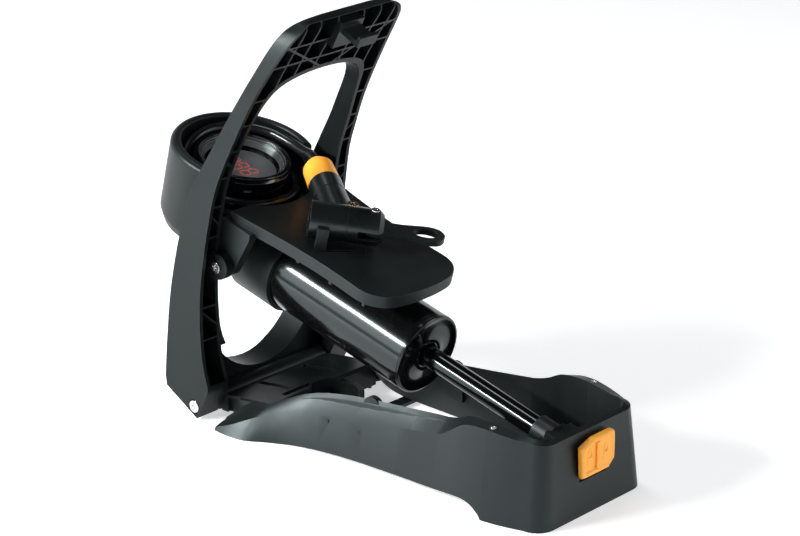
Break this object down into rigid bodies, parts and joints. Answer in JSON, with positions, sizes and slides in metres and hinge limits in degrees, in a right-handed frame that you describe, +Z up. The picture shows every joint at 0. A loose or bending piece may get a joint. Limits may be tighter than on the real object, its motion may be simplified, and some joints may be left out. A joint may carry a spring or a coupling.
{
  "type": "foot air pump",
  "caption": "Foot-operated air pump: folding pedal yoke on a floor base, single barrel and rod, digital gauge drum with wound hose, swivelling lever valve head and slide latch",
  "frame": {"origin": "on the floor under the pedal hinge line, in the middle plane; the hinge line itself is 9.5 mm above it", "axes": "+X from the hinge to the latch end, +Y across the pump, +Z up from the floor"},
  "size_m": [0.3935, 0.162, 0.3035],
  "materials": {
    "body_plastic": "fine-textured anthracite moulding",
    "gloss_black": "polished black",
    "hose_rubber": "smooth black hose",
    "seal_rubber": "soft black rubber",
    "bush_plastic": "self-lubricating black plastic",
    "steel": "zinc-plated, bright",
    "brass": "turned brass",
    "orange_plastic": "satin orange moulding",
    "piston_plastic": "natural acetal",
    "lens": "clear flat window",
    "lcd": "grey liquid-crystal panel",
    "digits": "red segments",
    "board": "green circuit board"
  },
  "bodies": {
    "base": {"base_frame": "body_plastic", "base_deck": "body_plastic", "rod_saddle": "body_plastic", "foot_pads": "seal_rubber", "base_screws": "steel", "hinge_pins": "steel", "return_springs": "steel", "latch_keeper": "steel"},
    "latch": {"latch_button": "orange_plastic", "latch_slide": "body_plastic"},
    "yoke": {"pedal_yoke": "body_plastic", "pedal_hook": "body_plastic", "hinge_bushes": "bush_plastic", "pivot_bushes": "bush_plastic"},
    "head": {"pivot_screws": "steel", "drum_housing": "body_plastic", "carrier_plate": "body_plastic", "pump_head": "body_plastic", "head_screws": "steel", "gauge_can": "gloss_black", "gauge_bezel": "gloss_black", "gauge_lens": "lens", "gauge_display": "lcd", "gauge_digits": "digits", "gauge_board": "board", "button_cell": "steel", "cell_cover": "gloss_black", "barrel": "gloss_black", "barrel_seal": "seal_rubber", "front_cap": "gloss_black", "rod_wiper": "seal_rubber", "check_ball": "steel", "check_spring": "steel", "hose": "hose_rubber", "hose_barb": "brass", "hose_sleeve": "orange_plastic", "strain_sleeve": "body_plastic", "valve_body": "body_plastic", "valve_cover": "body_plastic", "mouth_seal": "seal_rubber", "lever_pin": "steel", "valve_screw": "brass", "valve_clip": "body_plastic"},
    "lever": {"valve_lever": "body_plastic"},
    "rod": {"piston": "piston_plastic", "piston_ring": "seal_rubber", "piston_rod": "gloss_black", "rod_foot": "body_plastic", "rod_pin": "steel"}
  },
  "joints": [
    {"name": "pedal_fold", "type": "hinge", "parent": "base", "child": "yoke", "pos_m": [0, 0, 0.0095], "axis": [0, 1, 0], "range_deg": [0, 62], "stiffness_Nm_per_rad": 1.6, "springref_deg": -68.75},
    {"name": "head_pivot", "type": "hinge", "parent": "yoke", "child": "head", "pos_m": [0.012, 0, 0.115], "axis": [0, 1, 0], "range_deg": [-75.92, 0]},
    {"name": "rod_slide", "type": "slide", "parent": "head", "child": "rod", "axis": [0.969, 0, -0.247], "range_m": [-0.09735, 0]},
    {"name": "latch_slide_joint", "type": "slide", "parent": "base", "child": "latch", "axis": [0, 1, 0], "range_m": [-0.004, 0]},
    {"name": "lever_swing", "type": "hinge", "parent": "head", "child": "lever", "pos_m": [0.09852, 0.0059, 0.14713], "axis": [0.247, 0, 0.969], "range_deg": [0, 90]}
  ],
  "couplings": [
    {"joint": "head_pivot", "follows": "pedal_fold", "ratio": -1.2236},
    {"joint": "rod_slide", "follows": "pedal_fold", "m_per_rad": -0.089868}
  ]
}
